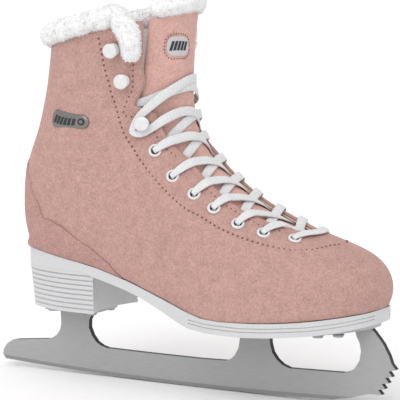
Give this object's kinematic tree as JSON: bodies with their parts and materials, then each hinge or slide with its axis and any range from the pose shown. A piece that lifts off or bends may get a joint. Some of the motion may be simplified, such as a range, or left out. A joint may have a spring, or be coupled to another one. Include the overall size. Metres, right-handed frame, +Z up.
{
  "type": "ice skate",
  "caption": "Right-foot figure skate: laced suede boot with plush collar, flexing tongue top and moulded heeled sole on a screwed-on steel blade with toe pick.",
  "frame": {"origin": "lowest point of the blade's rocker, on the blade's centre plane, where the blade meets the ice", "axes": "+X towards the toe along the blade, +Y towards the medial side of this right foot, +Z up"},
  "size_m": [0.291, 0.0927, 0.2518],
  "materials": {
    "blade_steel": "satin ground steel",
    "plate_steel": "satin pressed steel",
    "screw_steel": "bright zinc plating",
    "sole_plastic": "semi-gloss moulded white",
    "shank_steel": "raw strip",
    "board_fibre": "pressed fibre",
    "footbed_foam": "fabric-faced foam",
    "suede": "dusty pink brushed suede",
    "suede_counter": "dusty pink brushed suede, slightly darker",
    "stiffener_plastic": "matt thermoformed sheet",
    "padding_foam": "soft foam",
    "facing_leather": "cream raw-edged split leather",
    "plush": "white plush",
    "fleece": "white fleece",
    "label_satin": "woven satin",
    "badge_metal": "brushed",
    "fitting_paint": "white enamel",
    "lace_cotton": "flat woven",
    "tip_plastic": "clear-white"
  },
  "bodies": {
    "boot": {"blade_runner": "blade_steel", "heel_plate": "plate_steel", "sole_plate": "plate_steel", "heel_plate_screws": "screw_steel", "sole_plate_screws": "screw_steel", "sole_unit": "sole_plastic", "shank": "shank_steel", "insole_board": "board_fibre", "footbed": "footbed_foam", "upper_shell": "suede", "counter_cover": "suede_counter", "backstay": "suede_counter", "heel_stiffener": "stiffener_plastic", "toe_puff": "stiffener_plastic", "ankle_pad_lateral": "padding_foam", "ankle_pad_medial": "padding_foam", "lining": "fleece", "facing_lateral": "facing_leather", "facing_medial": "facing_leather", "collar_plush": "plush", "tongue_lower": "suede", "tongue_lower_pad": "fleece", "ankle_badge": "badge_metal", "hooks_lateral": "fitting_paint", "hooks_medial": "fitting_paint", "eyelets_lateral": "fitting_paint", "eyelets_medial": "fitting_paint", "lace": "lace_cotton", "lace_tips": "tip_plastic"},
    "tongue_top": {"tongue_upper": "suede", "tongue_upper_pad": "fleece", "tongue_plush": "plush", "tongue_label": "label_satin"}
  },
  "joints": [
    {"name": "tongue_flex", "type": "hinge", "parent": "boot", "child": "tongue_top", "pos_m": [-0.003, 0, 0.2054], "axis": [0, 1, 0], "range_deg": [-3, 25]}
  ]
}
